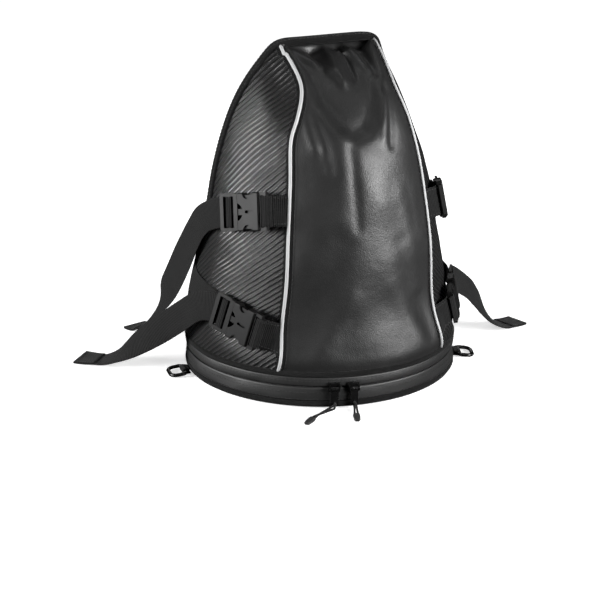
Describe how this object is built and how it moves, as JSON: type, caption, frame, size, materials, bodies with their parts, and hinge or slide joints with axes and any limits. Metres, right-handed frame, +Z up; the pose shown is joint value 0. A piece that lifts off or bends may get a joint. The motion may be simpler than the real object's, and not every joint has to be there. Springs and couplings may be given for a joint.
{
  "type": "motorcycle tail bag",
  "caption": "Hump-shaped motorcycle tail bag: panelled shell that zips off a flat tray, reflective piping, side release buckles with webbing straps and lashing rings.",
  "frame": {"origin": "on the underside, at the centre of the tray's round front", "axes": "+X to the bag's right, -Y to its front, +Z up"},
  "size_m": [0.5174, 0.35, 0.3476],
  "materials": {
    "black_leatherette": "semi-matte coated fabric with a fine grain",
    "carbon_leatherette": "glossy embossed twill",
    "reflective_trim": "satin retroreflective tape over a cord",
    "binding_tape": "matt woven tape",
    "zip_nylon": "moulded nylon",
    "pad_mesh": "matt air mesh",
    "antislip_rubber": "matt",
    "board": "matt",
    "base_fabric": "matt woven",
    "webbing": "matt ribbed webbing",
    "buckle_plastic": "satin moulded acetal",
    "black_metal": "gloss black enamel",
    "pull_cord": "braided",
    "grip_rubber": "satin"
  },
  "bodies": {
    "tray": {"antislip_pad": "antislip_rubber", "base_panel": "base_fabric", "base_board": "board", "bottom_roll": "black_leatherette", "lower_band": "black_leatherette", "lower_zip_tape": "binding_tape", "lower_zip_coil": "zip_nylon", "rear_hinge_fold": "binding_tape", "ring_tab_left": "webbing", "ring_tab_right": "webbing"},
    "shell": {"upper_zip_tape": "binding_tape", "upper_zip_coil": "zip_nylon", "upper_band": "black_leatherette", "top_roll": "black_leatherette", "front_panel": "black_leatherette", "side_panel_left": "carbon_leatherette", "side_panel_right": "carbon_leatherette", "back_panel": "black_leatherette", "back_pad": "pad_mesh", "reflective_piping_left": "reflective_trim", "reflective_piping_right": "reflective_trim", "edge_binding": "binding_tape", "grab_handle": "webbing", "buckle_female_upper_left": "buckle_plastic", "short_webbing_upper_left": "webbing", "rear_strap_upper_left": "webbing", "buckle_female_lower_left": "buckle_plastic", "short_webbing_lower_left": "webbing", "rear_strap_lower_left": "webbing", "buckle_female_upper_right": "buckle_plastic", "short_webbing_upper_right": "webbing", "rear_strap_upper_right": "webbing", "buckle_female_lower_right": "buckle_plastic", "short_webbing_lower_right": "webbing", "rear_strap_lower_right": "webbing"},
    "buckle_upper_left": {"buckle_male_upper_left": "buckle_plastic", "strap_tail_upper_left": "webbing"},
    "buckle_lower_left": {"buckle_male_lower_left": "buckle_plastic", "strap_tail_lower_left": "webbing"},
    "buckle_upper_right": {"buckle_male_upper_right": "buckle_plastic", "strap_tail_upper_right": "webbing"},
    "buckle_lower_right": {"buckle_male_lower_right": "buckle_plastic", "strap_tail_lower_right": "webbing"},
    "zip_slider_left": {"zip_slider_left": "black_metal"},
    "pull_tab_left": {"pull_tab_left": "black_metal", "grip_cord_left": "pull_cord"},
    "grip_left": {"grip_left": "grip_rubber"},
    "zip_slider_right": {"zip_slider_right": "black_metal"},
    "pull_tab_right": {"pull_tab_right": "black_metal", "grip_cord_right": "pull_cord"},
    "grip_right": {"grip_right": "grip_rubber"},
    "d_ring_left": {"d_ring_left": "buckle_plastic"},
    "d_ring_right": {"d_ring_right": "buckle_plastic"}
  },
  "joints": [
    {"name": "shell_open", "type": "hinge", "parent": "tray", "child": "shell", "pos_m": [0, 0.10815, 0.023], "axis": [-1, 0, 0], "range_deg": [0, 80]},
    {"name": "buckle_upper_left_release", "type": "slide", "parent": "shell", "child": "buckle_upper_left", "axis": [-0.5098, 0.8414, -0.1793], "range_m": [0, 0.026], "deforming": ["rear_strap_upper_left"]},
    {"name": "buckle_lower_left_release", "type": "slide", "parent": "shell", "child": "buckle_lower_left", "axis": [-0.4799, 0.8468, 0.2296], "range_m": [0, 0.026], "deforming": ["rear_strap_lower_left"]},
    {"name": "buckle_upper_right_release", "type": "slide", "parent": "shell", "child": "buckle_upper_right", "axis": [0.4117, 0.9011, -0.1364], "range_m": [0, 0.026], "deforming": ["rear_strap_upper_right"]},
    {"name": "buckle_lower_right_release", "type": "slide", "parent": "shell", "child": "buckle_lower_right", "axis": [0.4649, 0.8554, 0.2285], "range_m": [0, 0.026], "deforming": ["rear_strap_lower_right"]},
    {"name": "zip_left_travel", "type": "hinge", "parent": "tray", "child": "zip_slider_left", "pos_m": [0, 0, 0.023], "axis": [0, 0, 1], "range_deg": [-58, 0]},
    {"name": "pull_tab_left_lift", "type": "hinge", "parent": "zip_slider_left", "child": "pull_tab_left", "pos_m": [-0.04269, -0.14411, 0.023], "axis": [-0.9588, 0.284, 0], "range_deg": [0, 110]},
    {"name": "grip_left_swing", "type": "hinge", "parent": "pull_tab_left", "child": "grip_left", "pos_m": [-0.07321, -0.15959, 0.0022], "axis": [-0.6691, 0.7431, 0], "range_deg": [0, 45], "deforming": ["grip_cord_left"]},
    {"name": "zip_right_travel", "type": "hinge", "parent": "tray", "child": "zip_slider_right", "pos_m": [0, 0, 0.023], "axis": [0, 0, 1], "range_deg": [0, 68]},
    {"name": "pull_tab_right_lift", "type": "hinge", "parent": "zip_slider_right", "child": "pull_tab_right", "pos_m": [-0.02351, -0.14845, 0.023], "axis": [-0.9877, 0.1564, 0], "range_deg": [0, 110]},
    {"name": "grip_right_swing", "type": "hinge", "parent": "pull_tab_right", "child": "grip_right", "pos_m": [-0.02926, -0.16721, 0.0022], "axis": [-0.9397, 0.342, 0], "range_deg": [0, 45], "deforming": ["grip_cord_right"]},
    {"name": "d_ring_left_swing", "type": "hinge", "parent": "tray", "child": "d_ring_left", "pos_m": [-0.15179, 0.00796, 0.0037], "axis": [0.0523, 0.9986, 0], "range_deg": [0, 100]},
    {"name": "d_ring_right_swing", "type": "hinge", "parent": "tray", "child": "d_ring_right", "pos_m": [0.14372, -0.04949, 0.0037], "axis": [-0.3256, -0.9455, 0], "range_deg": [0, 100]}
  ]
}
